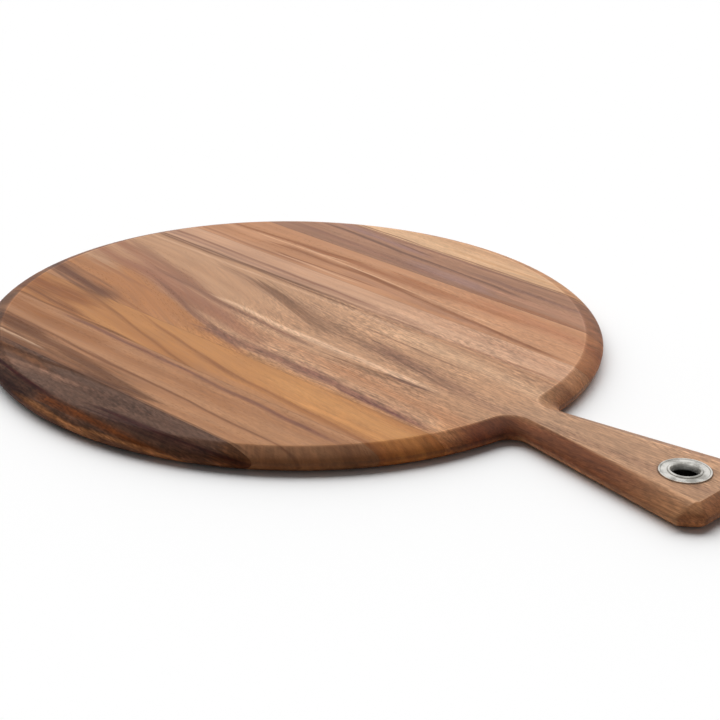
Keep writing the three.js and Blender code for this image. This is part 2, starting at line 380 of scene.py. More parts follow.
def staveWood(name, look, joints):
    shade = grainShade
    mat, tree, shader = newMaterial(name)
    place = node(tree, "TexCoord").outputs["Object"]
    inMm = node(tree, "VectorMath", {0: place, "Scale": 1 / mm}, operation="SCALE").outputs[0]
    x, y, z = node(tree, "SeparateXYZ", {0: inMm}).outputs
    depth = minus(tree, z, topFace / mm)
    across, off, grain = grainPlace(tree, look, x, y, depth)
    given = {"along": x, "across": grain, "thread": off, "depth": depth, "seed": look["seed"]}
    wood = node(tree, "Group", given, node_tree=fibreGroup).outputs
    colour = grainColour(tree, look, wood, x, across, depth)
    bright = grainBrightness(tree, look, wood, x, y, joints)
    colour, bright = shadeRim(tree, look, x, y, depth, colour, bright)
    grey = node(tree, "CombineColor", {0: bright, 1: bright, 2: bright}).outputs[0]
    colour = tint(tree, 1.0, colour, grey)

    rough = ease(tree, wood["fibre"], *shade["rough"], look["gloss"] - shade["smoother"],
                 look["gloss"] + shade["rougher"])
    rough = plus(tree, rough, times(tree, wood["pores"], shade["poreRough"]))
    relief = minus(tree, wood["fibre"], times(tree, wood["pores"], shade["poreDepth"]))
    bump = node(tree, "Bump", {"Height": relief, "Strength": shade["bump"], "Distance": shade["bumpHeight"]})
    feed(tree, shader, {"Base Color": colour, "Roughness": rough, "Normal": bump.outputs[0]})
    shader.inputs["Specular IOR Level"].default_value = look["shine"]
    return mat


def streak(start, end, colour, above, below, span, strength=0.85, fade=30, fray=1.5):
    # start and end are points of the streak's middle line, in millimetres from the disc's centre,
    # above and below are its widths on both sides, and span is where it fades in and out
    return {"startX": start[0], "startY": start[1], "endX": end[0], "endY": end[1], "tone": colour,
            "above": above, "below": below, "fadeIn": span[0], "fadeOut": span[1], "fade": fade,
            "strength": strength, "fray": fray}


warmRim = (1.0, 0.84, 0.66, 1.0)
dullRim = (0.71, 0.66, 0.62, 1.0)
plainLook = {
    "flow": {"fromX": -150, "toX": 150, "fromY": 0, "toY": 0, "fanY": 1000}, "gloss": 0.5, "shine": 0.15,
    "rimTint": (0.93, 0.75, 0.58, 1.0), "endTint": (0.76, 0.67, 0.58, 1.0), "creaseHighlight": 0.1, "lowRim": 1.0,
    "flange": None, "nearShadeTint": None, "farSide": None,
}
# a dark patch that crosses the joint between two staves
leftPatch = streak((-165, -45), (-95, -58), tone(114, 83, 70), 13, 14, (-185, -108), 0.97, 26, 1.6)

staveLooks = {
    "far_stave_4": {
        **plainLook,
        "light": tone(228, 187, 150), "dark": tone(211, 168, 133), "lines": 0.3, "fine": 0.06,
        "dashes": 0.03, "flecks": 0.07, "fleckFrom": -100, "seed": 11.0, "wander": 4.0, "lean": 0.5,
        "gloss": 0.52,
        "streaks": [
            streak((-100, 145), (100, 144), tone(140, 104, 86), 0.9, 1.6, (-90, 110)),
            streak((-20, 153), (90, 150), tone(204, 156, 118), 3, 3, (0, 80), 0.6),
        ],
    },
    "far_stave_3": {
        **plainLook,
        "light": tone(176, 135, 111), "dark": tone(158, 121, 101), "lines": 0.36, "fine": 0.07,
        "dashes": 0.03, "flecks": 0.07, "fleckFrom": -60, "seed": 23.0, "wander": 3.0, "lean": -0.4,
        "streaks": [
            streak((0, 115), (60, 113), tone(160, 128, 119), 10, 8, (0, 40), 0.8),
            streak((-75, 135), (-20, 133), tone(156, 124, 119), 6, 4, (-80, -35), 0.8),
            streak((60, 118), (110, 115), tone(188, 142, 117), 6, 6, (65, 130), 0.8),
            streak((-110, 116), (20, 111), tone(150, 112, 97), 4, 5, (-105, 0), 0.7),
            streak((50, 107), (120, 106), tone(158, 112, 88), 3.5, 4, (55, 120), 0.85),
            streak((30, 130), (110, 127), tone(142, 109, 97), 3, 4, (40, 115), 0.8),
            streak((-90, 130), (50, 122.5), tone(122, 93, 83), 2.2, 3.2, (-90, 55), 0.95),
            streak((-45, 136), (-15, 134), tone(128, 97, 86), 1.2, 1.6, (-42, -18), 0.85, 12),
            streak((-100, 141.5), (100, 141), tone(140, 106, 92), 1.5, 2, (-80, 100), 0.8),
        ],
    },
    "far_stave_2": {
        **plainLook,
        "light": tone(203, 154, 121), "dark": tone(187, 138, 106), "lines": 0.24, "fine": 0.05,
        "dashes": 0.04, "flecks": 0.09, "fleckFrom": 40, "seed": 37.0, "wander": 2.5, "lean": 0.3,
        "streaks": [
            streak((70, 96), (150, 90), tone(188, 133, 103), 9, 10, (70, 160), 0.8),
            streak((-20, 73), (80, 67), tone(176, 132, 107), 5, 6, (-10, 85), 0.8),
            streak((-70, 90), (20, 89), tone(162, 113, 86), 4.5, 6, (-75, 25), 0.9),
            streak((20, 93), (80, 90), tone(174, 122, 92), 5, 7, (5, 85), 0.85),
            streak((-145, 86), (-80, 90), tone(150, 104, 78), 2.2, 3, (-140, -50), 0.9),
            streak((-95, 80), (0, 78.5), tone(148, 103, 78), 4, 5, (-80, 5), 0.9),
            streak((-10, 79), (130, 65), tone(144, 100, 77), 2.6, 3.4, (-15, 125), 0.92),
            streak((-120, 84), (-60, 86.3), tone(222, 176, 142), 1.2, 1.2, (-112, -55), 0.9, 20),
            streak((-70, 86.3), (85, 76), tone(222, 176, 142), 1.3, 1.4, (-60, 75), 0.9),
            streak((-145, 67), (-70, 65.5), tone(160, 116, 92), 1.8, 2.6, (-140, -75), 0.85),
            streak((-85, 69.5), (-10, 69), tone(148, 104, 82), 1.2, 1.6, (-75, -15), 0.85, 15),
            streak((-80, 67), (-10, 66.5), tone(222, 178, 146), 1.0, 1.2, (-75, -20), 0.8, 15),
        ],
    },
    "far_stave_1": {
        **plainLook,
        "light": tone(212, 170, 141), "dark": tone(199, 156, 128), "lines": 0.3, "fine": 0.06,
        "dashes": 0.07, "flecks": 0.22, "fleckFrom": 60, "seed": 41.0, "wander": 2.0, "lean": -0.4,
        "rimTint": warmRim,
        "streaks": [
            streak((-160, 44.5), (0, 43.5), tone(170, 132, 112), 5, 5, (-170, -50), 0.85, 50),
            streak((-30, 44), (60, 43), tone(170, 132, 110), 4, 4, (-30, 45), 0.8),
            streak((-160, 50), (0, 46.5), tone(148, 110, 92), 2, 3, (-165, 5), 0.85),
            streak((-165, 39.4), (0, 39), tone(120, 89, 74), 2.8, 3, (-175, -30), 0.88, 60),
            streak((-20, 40), (60, 39.5), tone(148, 112, 92), 1.8, 2.2, (0, 60), 0.8),
            streak((90, 39.5), (165, 39.5), tone(168, 124, 98), 2.2, 2.4, (100, 170), 0.8),
        ],
    },
    "handle_stave": {
        **plainLook,
        "light": tone(201, 160, 129), "dark": tone(183, 142, 113), "lines": 0.28, "fine": 0.05,
        "dashes": 0.17, "flecks": 0.21, "fleckFrom": -5, "seed": 53.0, "wander": 3.0, "lean": 0.6,
        "flow": {"fromX": -150, "toX": 25, "fromY": -4, "toY": -54, "fanY": 36},
        # the rim and end tints on this stave are in part painted shade, its top edge has a stronger painted
        # highlight, and the near-side tint is painted shade on the side turned from the light
        "rimTint": (1.06, 0.90, 0.71, 1.0), "endTint": (0.70, 0.58, 0.53, 1.0), "creaseHighlight": 0.2,
        "flange": flangeRadius / mm, "nearShadeTint": (0.43, 0.30, 0.28, 1.0), "farSide": (0.74, 0.80, 0.92, 1.0),
        "streaks": [
            streak((140, -48), (180, -48), tone(204, 154, 117), 16, 12, (157, 184), 0.9, 8, 1.0),
            streak((-80, -32), (0, -55), tone(182, 129, 91), 5, 80, (-120, 20), 0.92, 30, 1.0),
            streak((-160, -30), (-60, -40), tone(180, 128, 92), 9, 60, (-200, -70), 0.9, 30, 1.0),
            streak((0, -62), (165, -63), tone(190, 138, 96), 14, 20, (-25, 180), 0.95, 20, 0.6),
            streak((-165, 8), (-80, -8), tone(158, 113, 92), 10, 10, (-175, -95), 0.85),
            streak((-165, -8), (0, -35), tone(157, 112, 91), 9, 9, (-175, -10), 0.9),
            streak((-120, -10), (-30, -27), tone(160, 116, 96), 12, 11, (-115, -28), 0.85, 32, 2.0),
            streak((0, -30), (80, -36), tone(184, 138, 108), 8, 9, (0, 75), 0.75),
            streak((70, -34), (165, -40), tone(182, 134, 103), 12, 11, (80, 165), 0.85),
            streak((-165, 37.4), (20, 35.4), tone(126, 94, 78), 2.4, 2.4, (-165, 10), 0.85, 50),
            streak((40, 36), (165, 35), tone(172, 130, 104), 2, 2.4, (60, 165), 0.8),
            streak((-165, 33.5), (20, 31.5), tone(216, 176, 146), 1.6, 2.4, (-150, 50), 0.7),
            streak((-85, 27.5), (-30, 19), tone(150, 115, 95), 3, 6, (-85, -25), 0.8, 20),
            streak((-45, 22), (5, 6), tone(134, 102, 83), 8, 9, (-38, 12), 0.9, 25, 2.2),
            streak((0, 11), (60, 1), tone(150, 116, 95), 11, 10, (12, 75), 0.8, 30, 2.6),
            streak((60, 4), (130, -6), tone(144, 110, 93), 9, 9, (72, 128), 0.85, 25, 2.6),
            streak((115, -6), (165, -14), tone(160, 124, 102), 7, 8, (125, 165), 0.7, 25, 2.2),
            streak((170, 0), (300, 0), tone(184, 149, 123), 40, 40, (190, 320), 0.7, 40, 0.5),
            streak((150, -9), (290, -9), tone(154, 121, 101), 6, 6, (170, 300), 0.7),
            streak((70, 25), (165, 20), tone(212, 174, 143), 9, 9, (70, 165), 0.6, 30, 2.0),
            streak((40, 18.5), (115, 15), tone(146, 112, 92), 1.2, 1.8, (50, 112), 0.75, 15),
            streak((70, 2), (125, -10), tone(116, 88, 76), 1.4, 2, (78, 118), 0.75, 15),
            streak((-150, 12), (-70, -10), tone(154, 115, 95), 7, 7, (-145, -60), 0.7),
            streak((-95, -9), (20, -21), tone(142, 106, 90), 4.5, 4.5, (-95, 15), 0.88),
            streak((-45, -11), (30, -16), tone(228, 188, 156), 2, 3.4, (-35, 40), 0.95),
            streak((10, -15), (118, -17), tone(224, 184, 153), 3.6, 5, (20, 108), 0.95),
            streak((55, -25), (120, -21), tone(138, 104, 84), 3, 5, (62, 112), 0.7, 15, 3.6),
            streak((95, -19), (125, -21), tone(130, 100, 88), 3, 3.4, (104, 116), 0.85, 12),
            streak((-70, -28), (20, -41), tone(164, 121, 98), 8, 7, (-70, 5), 0.8, 25),
            streak((-110, -15), (-10, -48), tone(140, 102, 86), 4, 5.5, (-80, 0), 0.9),
            streak((-20, -48), (70, -49), tone(138, 102, 88), 8.5, 6.5, (-10, 62), 0.95),
            streak((55, -48.5), (165, -55.5), tone(142, 104, 91), 8, 6.5, (60, 142), 0.9, 14),
            streak((100, -53), (140, -55), tone(118, 82, 80), 3, 3, (104, 130), 0.8, 12, 2.6),
            streak((-160, -23), (-90, -33), tone(166, 118, 90), 1.6, 2.6, (-150, -95), 0.75, 20),
            streak((-100, -52), (-55, -60), tone(160, 111, 82), 1.4, 2.4, (-110, -60), 0.7, 20),
            leftPatch,
        ],
    },
    "near_stave_1": {
        **plainLook,
        "light": tone(194, 141, 97), "dark": tone(180, 128, 89), "lines": 0.14, "fine": 0.035,
        "dashes": 0.03, "flecks": 0.05, "fleckFrom": 60, "seed": 67.0, "wander": 2.5, "lean": 0.2,
        "flow": {"fromX": -130, "toX": 140, "fromY": -57, "toY": -90, "fanY": 1000},
        "rimTint": warmRim,
        "streaks": [
            streak((-165, -70), (-100, -72), tone(140, 94, 69), 12, 16, (-170, -112), 0.95),
            streak((20, -88), (130, -91), tone(178, 132, 101), 5, 5, (30, 135), 0.8),
            streak((60, -70), (150, -72), tone(206, 152, 104), 14, 10, (70, 150), 0.8, 40),
            streak((90, -80), (145, -81), tone(214, 156, 105), 4, 4, (95, 145), 0.85),
            leftPatch,
            streak((-110, -62), (5, -90), tone(146, 101, 74), 2, 3, (-100, 0), 0.75),
            streak((-60, -62), (20, -79), tone(152, 106, 78), 2, 3.4, (-45, 15), 0.8),
            streak((15, -78.5), (140, -89), tone(152, 106, 79), 2, 3.6, (20, 145), 0.85),
            streak((-155, -81), (-90, -86), tone(134, 92, 70), 6, 6.5, (-150, -100), 0.92),
            streak((-145, -89.6), (0, -90), tone(126, 88, 69), 1.8, 1.8, (-145, -50), 0.9),
        ],
    },
    "near_stave_2": {
        **plainLook,
        "light": tone(187, 141, 108), "dark": tone(170, 125, 95), "lines": 0.22, "fine": 0.05,
        "dashes": 0.03, "flecks": 0.07, "fleckFrom": 0, "seed": 71.0, "wander": 2.5, "lean": 0.15,
        "rimTint": dullRim,
        "streaks": [
            streak((-140, -101), (-60, -104), tone(154, 107, 77), 10, 10, (-145, -60), 0.92),
            streak((-125, -135), (-20, -137), tone(120, 87, 69), 20, 40, (-145, -8), 0.97, 40, 1.5),
            streak((-95, -123), (-20, -127), tone(116, 83, 66), 7, 6, (-105, -35), 0.88, 40, 2.5),
            streak((-40, -128.5), (15, -132), tone(112, 82, 66), 4, 4.5, (-35, 10), 0.9, 22, 2.0),
            streak((-135, -118), (-80, -121), tone(110, 78, 62), 8, 9, (-145, -95), 0.92),
            streak((-60, -107), (60, -110), tone(166, 119, 88), 9, 9, (-70, 60), 0.7, 30, 2.0),
            streak((-80, -92), (70, -97.5), tone(132, 95, 82), 2.6, 3.6, (-75, 115), 0.92),
            streak((-115, -115), (-10, -119), tone(128, 90, 71), 1.5, 2.4, (-105, -5), 0.9),
            streak((-35, -118), (110, -123.5), tone(134, 95, 75), 1.3, 2, (-30, 112), 0.9),
            streak((-80, -146), (20, -134), tone(104, 77, 64), 4.5, 8, (-85, 20), 0.94, 20, 2.0),
            streak((-70, -135), (-15, -137.5), tone(152, 112, 87), 1.6, 2.2, (-55, -28), 0.7, 18, 2.5),
            streak((-105, -130.8), (-70, -132.5), tone(206, 170, 140), 1.2, 2.2, (-100, -78), 0.9, 14, 2.0),
            streak((20, -138), (90, -138), tone(118, 88, 72), 1.2, 1.8, (10, 90), 0.8),
        ],
    },
    "near_stave_3": {
        **plainLook,
        "light": tone(114, 93, 83), "dark": tone(95, 76, 68), "lines": 0.34, "fine": 0.08,
        "dashes": 0.05, "flecks": 0.32, "fleckFrom": -60, "seed": 83.0, "wander": 3.0, "lean": 1.4,
        # this stave's lower rim is painted lighter still, as bounce light from the table
        "rimTint": (1.02, 0.90, 0.81, 1.0), "shine": 0.06, "lowRim": 1.6,
        "streaks": [
            streak((-20, -173), (70, -172), tone(128, 84, 61), 6, 7, (-12, 62), 0.9, 15),
            # the two tan streaks along the bottom of the rim are lighter wood with painted bounce light from
            # the table
            streak((-30, -181), (25, -184), tone(170, 126, 94), 3.2, 6, (-25, 25), 0.88, 15),
            streak((20, -184), (80, -170), tone(164, 122, 92), 3, 5, (25, 75), 0.85, 15),
            streak((-90, -172), (-25, -176), tone(66, 43, 30), 11, 30, (-180, -35), 0.9, 20),
            streak((-110, -145), (-50, -147), tone(124, 90, 71), 7, 6, (-115, -50), 0.85, 20),
            streak((96, -150), (140, -150), tone(114, 86, 70), 40, 40, (99, 160), 0.92, 8, 0.8),
            streak((-80, -146), (20, -134), tone(92, 69, 58), 4, 4.5, (-85, 20), 0.9, 20, 2.0),
            streak((-75, -155), (0, -148.5), tone(143, 112, 96), 4, 5.5, (-64, -18), 0.9, 24, 2.0),
            streak((-85, -158), (-25, -166), tone(74, 51, 38), 3, 3.6, (-90, -25), 0.95),
            streak((20, -161), (100, -151), tone(70, 54, 48), 4, 10, (38, 100), 0.9),
        ],
    },
}

# Board: the rim is a stack of outlines, from the resting face up to the edge of the flat top

board = {
    "neckHalf": 16.5 * mm, "endHalf": 37.5 * mm, "fillet": 8 * mm, "clip": 11 * mm, "clipRounding": 0.45,
    "undersideInset": 9 * mm, "widestHeight": 6.5 * mm, "bevelFullness": 0.5,
    "crease": {"inset": 10.7 * mm, "endInset": 8 * mm, "neckHalf": 8 * mm, "endHalf": 22.2 * mm,
               "fillet": 13 * mm, "clip": 1.2 * mm},
    "creaseRow": 0.97, "arris": 0.05 * mm,  # how far the sanded top edge is taken down
    "flatRows": (1.05, 1.14),  # the arris is sanded over onto the flat
    "undersideRows": 7, "bevelRows": 11, "discSteps": 150, "filletSteps": 14, "clipSteps": 5, "sideSteps": 12,
    "endSteps": 3, "cornerSteps": 2, "sharp": 35,
}


def outlineSizes():
    crease = board["crease"]
    inset = board["undersideInset"]
    widest = {"radius": discRadius, "neckHalf": board["neckHalf"], "endHalf": board["endHalf"],
              "end": handleHigh.x, "fillet": board["fillet"], "clip": board["clip"]}
    rest = {"radius": widest["radius"] - inset, "neckHalf": widest["neckHalf"] - inset,
            "endHalf": widest["endHalf"] - inset, "end": widest["end"] - inset,
            "fillet": widest["fillet"] + inset, "clip": widest["clip"] - (2 - math.sqrt(2)) * inset}
    top = {"radius": widest["radius"] - crease["inset"], "neckHalf": crease["neckHalf"],
           "endHalf": crease["endHalf"], "end": widest["end"] - crease["endInset"],
           "fillet": crease["fillet"], "clip": crease["clip"]}
    return rest, widest, top


def between(a, b, share):
    return {key: a[key] + (b[key] - a[key]) * share for key in a}


def lineTo(bm, vert, x, y, steps):
    start, end = vert.co.copy(), Vector((x, y, vert.co.z))
    for step in range(1, steps + 1):
        vert = bmesh.ops.extrude_vert_indiv(bm, verts=[vert])["verts"][0]
        vert.co = start.lerp(end, step / steps)
    return vert


def arcTo(bm, vert, centre, angle, steps):
    turned = bmesh.ops.spin(bm, geom=[vert], cent=(*centre, vert.co.z), axis=(0, 0, 1), angle=angle,
                            steps=steps)
    return next(v for v in turned["geom_last"] if isinstance(v, bmesh.types.BMVert))


def drawOutline(bm, size, height):
    earlier = set(bm.edges)
    slope = (size["endHalf"] - size["neckHalf"]) / (size["end"] - discRadius)
    sideAngle = math.atan(slope)
    clip, rounding = size["clip"], board["clipRounding"] * size["clip"]
    turn = (math.pi / 2 + sideAngle) / 2
    back = rounding * math.tan(turn / 2)  # from the clip's edge to where its rounding starts
    alongSide = Vector((math.cos(sideAngle), math.sin(sideAngle)))
    outOfSide = Vector((-math.sin(sideAngle), math.cos(sideAngle)))
    onEnd = Vector((size["end"], size["endHalf"] - clip))
    onSide = Vector((size["end"], size["endHalf"])) - alongSide * clip
    endCentre = onEnd - Vector((rounding, back))
    sideCentre = onSide - alongSide * back - outOfSide * rounding
    sideStart = sideCentre + Vector((math.cos(turn), math.sin(turn))) * rounding

    # the fillet's circle touches the disc and the side of the handle
    start = size["neckHalf"] - slope * discRadius + size["fillet"] * math.hypot(1, slope)
    a, b = 1 + slope * slope, 2 * slope * start
    c = start * start - (size["radius"] + size["fillet"]) ** 2
    filletX = (-b + math.sqrt(b * b - 4 * a * c)) / (2 * a)
    filletCentre = Vector((filletX, start + slope * filletX))
    filletStart = filletCentre - outOfSide * size["fillet"]
    discAngle = math.atan2(filletCentre.y, filletCentre.x)

    vert = bm.verts.new((size["end"], 0, height))
    vert = lineTo(bm, vert, size["end"], endCentre.y, board["endSteps"])
    vert = arcTo(bm, vert, endCentre, turn, board["clipSteps"])
    vert = lineTo(bm, vert, *sideStart, board["cornerSteps"])
    vert = arcTo(bm, vert, sideCentre, turn, board["clipSteps"])
    vert = lineTo(bm, vert, *filletStart, board["sideSteps"])
    vert = arcTo(bm, vert, filletCentre, discAngle - math.pi / 2 - sideAngle, board["filletSteps"])
    arcTo(bm, vert, (0, 0), math.pi - discAngle, board["discSteps"])

    half = [e for e in bm.edges if e not in earlier]
    verts = list({v for e in half for v in e.verts})
    bmesh.ops.mirror(bm, geom=half + verts, matrix=Matrix.Identity(4), merge_dist=weldGap, axis="Y")
    return [e for e in bm.edges if e not in earlier]


def rimRows():
    # outline and height of each row, from the resting face up to the flat top
    rest, widest, top = outlineSizes()
    rows = []
    for row in range(board["undersideRows"]):
        angle = math.pi / 2 * row / board["undersideRows"]
        rows.append((between(rest, widest, math.sin(angle)), board["widestHeight"] * (1 - math.cos(angle))))
    drop = topFace - board["widestHeight"]
    shoulder = board["bevelFullness"] * drop
    for t in [row / board["bevelRows"] for row in range(board["bevelRows"])] + [board["creaseRow"]]:
        rows.append((between(widest, top, t * t), topFace - 2 * t * (1 - t) * shoulder - (1 - t) ** 2 * drop))
    rows.append((top, topFace - board["arris"]))
    return rows + [(between(widest, top, share), topFace) for share in board["flatRows"]]


def outlinePoints(size, height):
    bm = bmesh.new()
    drawOutline(bm, size, height)
    points = [v.co.copy() for v in bm.verts]
    bm.free()
    return points


def extrudeLoop(bm, edges):
    made = bmesh.ops.extrude_edge_only(bm, edges=edges)["geom"]
    verts = {g for g in made if isinstance(g, bmesh.types.BMVert)}
    return verts, [g for g in made if isinstance(g, bmesh.types.BMEdge) and set(g.verts) <= verts]


def makeBlank():
    bm = bmesh.new()
    station = bm.verts.layers.int.new("station")  # each vertex's place along the outline
    rows = rimRows()
    loop = drawOutline(bm, *rows[0])
    for place, vert in enumerate(bm.verts):
        vert[station] = place
    bmesh.ops.edgeloop_fill(bm, edges=loop)
    for row in rows[1:]:
        points = outlinePoints(*row)
        verts, loop = extrudeLoop(bm, loop)
        for vert in verts:
            vert.co = points[vert[station]]
    bmesh.ops.edgeloop_fill(bm, edges=loop)
    return bm


def cutFlat(bm, point, normal, **settings):
    everything = bm.verts[:] + bm.edges[:] + bm.faces[:]
    return bmesh.ops.bisect_plane(bm, geom=everything, dist=weldGap, plane_co=point, plane_no=normal,
                                  **settings)


eyeletHole = {"radius": barrelRadius + fitClearance, "recess": washerHigh.z,
              "recessRadius": washerRadius + fitClearance, "steps": 96,
              "fieldLength": 25 * mm}  # the field is the part of the face that the hole is cut in


def boreHole(bm):
    hole = eyeletHole
    fieldStart = eyeletX - hole["fieldLength"]
    cutFlat(bm, (fieldStart, 0, 0), (1, 0, 0))

    def openField(height):
        flat = [f for f in bm.faces if f.calc_center_median().x > fieldStart
                and all(abs(v.co.z - height) < samePlace for v in f.verts)]
        field = max(flat, key=lambda f: f.calc_area())
        rim = list(field.edges)
        bmesh.ops.delete(bm, geom=[field], context="FACES_ONLY")
        return rim

    lowRim, topRim = openField(0.0), openField(topFace)
    circle = bmesh.ops.create_circle(bm, radius=hole["recessRadius"], segments=hole["steps"],
                                     matrix=Matrix.Translation((eyeletX, 0, 0)))["verts"]
    ring = list({e for v in circle for e in v.link_edges})
    bmesh.ops.triangle_fill(bm, edges=lowRim + ring, use_beauty=True, normal=(0, 0, -1))
    shrink = hole["radius"] / hole["recessRadius"]
    for rise, scale in ((hole["recess"], 1.0), (0.0, shrink), (topFace - hole["recess"], 1.0)):
        verts, ring = extrudeLoop(bm, ring)
        bmesh.ops.translate(bm, verts=list(verts), vec=(0, 0, rise))
        bmesh.ops.scale(bm, verts=list(verts), vec=(scale, scale, 1),
                        space=Matrix.Translation((-eyeletX, 0, 0)))
    bmesh.ops.triangle_fill(bm, edges=topRim + ring, use_beauty=True, normal=(0, 0, 1))


def sawOff(bm, jointY, side):
    cut = cutFlat(bm, (0, jointY, 0), (0, side, 0), clear_outer=True)
    bmesh.ops.edgeloop_fill(bm, edges=[e for e in cut["geom_cut"] if isinstance(e, bmesh.types.BMEdge)])


def addPiece(bm, name, cadNode, material):
    bmesh.ops.recalc_face_normals(bm, faces=bm.faces)
    for face in bm.faces:
        face.smooth = True
    for edge in bm.edges:
        edge.smooth = edge.calc_face_angle(0) < math.radians(board["sharp"])
    mesh = bpy.data.meshes.new(name)
    bm.to_mesh(mesh)
    bm.free()
    piece = bpy.data.objects.new(name, mesh)
    bpy.context.scene.collection.objects.link(piece)
    mesh.materials.append(material)
    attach(piece, "root")
    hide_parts(cadNode)


blank = makeBlank()
print("blank:", len(blank.faces), "faces")
for stave, look in staveLooks.items():
    low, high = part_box(stave)
    bm = blank.copy()
    joints = []
    if high.y < discRadius - mm:
        sawOff(bm, high.y, 1)
        joints.append(high.y)
    if low.y > mm - discRadius:
        sawOff(bm, low.y, -1)
        joints.append(low.y)
    if stave == "handle_stave":
        boreHole(bm)
    addPiece(bm, stave + "_wood", stave, staveWood(stave + "_wood", look, joints))
    print("stave:", stave)
blank.free()

# Eyelet and washer

eyelet = {
    "bore": 7 * mm, "bandHeight": 0.55 * mm, "lipWidth": 1.7 * mm, "lipRise": 0.75 * mm,
    "beadWidth": 0.9 * mm, "beadRise": 0.25 * mm, "rollReach": 1.5 * mm, "steps": 160,
    "mouthFlare": 0.95 * mm, "mouthDepth": 3 * mm, "mouthSteps": 10,  # the bore widens towards its lip
    "lipRounding": 0.62 * mm, "beadRounding": 0.22 * mm, "edgeRounding": 0.08 * mm,
    "lipSegments": 6, "beadSegments": 4, "washerSegments": 3, "edgeSegments": 2,
}
lipOuter = eyelet["bore"] + eyelet["lipWidth"]
beadInner = flangeRadius - eyelet["beadWidth"]


def turnedRing(profile):
    bm = bmesh.new()
    verts = [bm.verts.new((eyeletX + radius, 0, height)) for radius, height in profile]
    ring = [bm.edges.new(pair) for pair in zip(verts, verts[1:] + verts[:1])]
    bmesh.ops.spin(bm, geom=verts + ring, cent=(eyeletX, 0, 0), axis=(0, 0, 1), angle=2 * math.pi,
                   steps=eyelet["steps"], use_merge=True)
    bmesh.ops.remove_doubles(bm, verts=bm.verts, dist=samePlace)
    bmesh.ops.recalc_face_normals(bm, faces=bm.faces)
    return bm


def ringEdges(bm, radius, height):
    # the edges of one ring of a turned piece
    def on(vert):
        flat = math.hypot(vert.co.x - eyeletX, vert.co.y)
        return abs(flat - radius) < samePlace and abs(vert.co.z - height) < samePlace
    return [e for e in bm.edges if on(e.verts[0]) and on(e.verts[1])]


def roundOver(bm, rings, offset, segments):
    edges = [e for ring in rings for e in ringEdges(bm, *ring)]
    bmesh.ops.bevel(bm, geom=edges, offset=offset, affect="EDGES", segments=segments, profile=0.5,
                    material=-1)


def makeEyelet():
    size = eyelet
    bore, steps = size["bore"], size["mouthSteps"]
    band = topFace + size["bandHeight"]
    lipTop, beadTop = band + size["lipRise"], band + size["beadRise"]
    rollOuter = barrelRadius + size["rollReach"]
    low, seat = eyeletLow.z, washerLow.z
    turns = [math.pi / 2 * step / steps for step in range(steps + 1)]
    mouth = [(bore + size["mouthFlare"] * (1 - math.cos(turn)),
              lipTop - size["mouthDepth"] * (1 - math.sin(turn))) for turn in turns]
    bm = turnedRing([
        (barrelRadius, seat), (rollOuter, seat), (rollOuter, low), (bore, low),
        *mouth, (lipOuter, lipTop), (lipOuter, band), (beadInner, band),
        (beadInner, beadTop), (flangeRadius, beadTop), (flangeRadius, topFace), (barrelRadius, topFace),
    ])
    roundOver(bm, [(lipOuter, lipTop)], size["lipRounding"], size["lipSegments"])
    roundOver(bm, [(beadInner, beadTop), (flangeRadius, beadTop)], size["beadRounding"], size["beadSegments"])
    roundOver(bm, [(rollOuter, low), (bore, low)], size["beadRounding"], size["beadSegments"])
    roundOver(bm, [(lipOuter, band), (beadInner, band)], size["edgeRounding"], size["edgeSegments"])
    return bm


def makeWasher():
    inner, outer = barrelRadius + fitClearance, washerRadius
    low, high = washerLow.z, washerHigh.z
    bm = turnedRing([(inner, high), (outer, high), (outer, low), (inner, low)])
    roundOver(bm, [(outer, low), (inner, low)], eyelet["beadRounding"], eyelet["washerSegments"])
    return bm


plate = {
    "silver": (0.71, 0.69, 0.645, 1.0), "tarnishAndDimReflection": (0.13, 0.12, 0.10, 1.0),
    "boreShadow": (0.010, 0.008, 0.006, 1.0),
    "marksAt": 3.0, "markScale": (9.0, 9.0, 1.0), "cloudScale": (0.16,) * 3, "grimeScale": (2.4,) * 3,
    "detail": 3.0, "clouds": (0.38, 0.66, 0.0, 0.6), "grime": (0.3, 0.7, 0.35, 0.95),
    "cornerShift": 0.15, "lipDirt": 0.45, "beadDirt": 0.4,  # in millimetres from the corners
    "boreEdge": (0.5, 0.1), "boreShadowDepth": (-1.7, -3.0),
    "roughEdge": (0.3, 0.7), "rough": (0.15, 0.30), "dullness": 0.3, "bump": 0.12, "bumpHeight": 0.05 * mm,
}


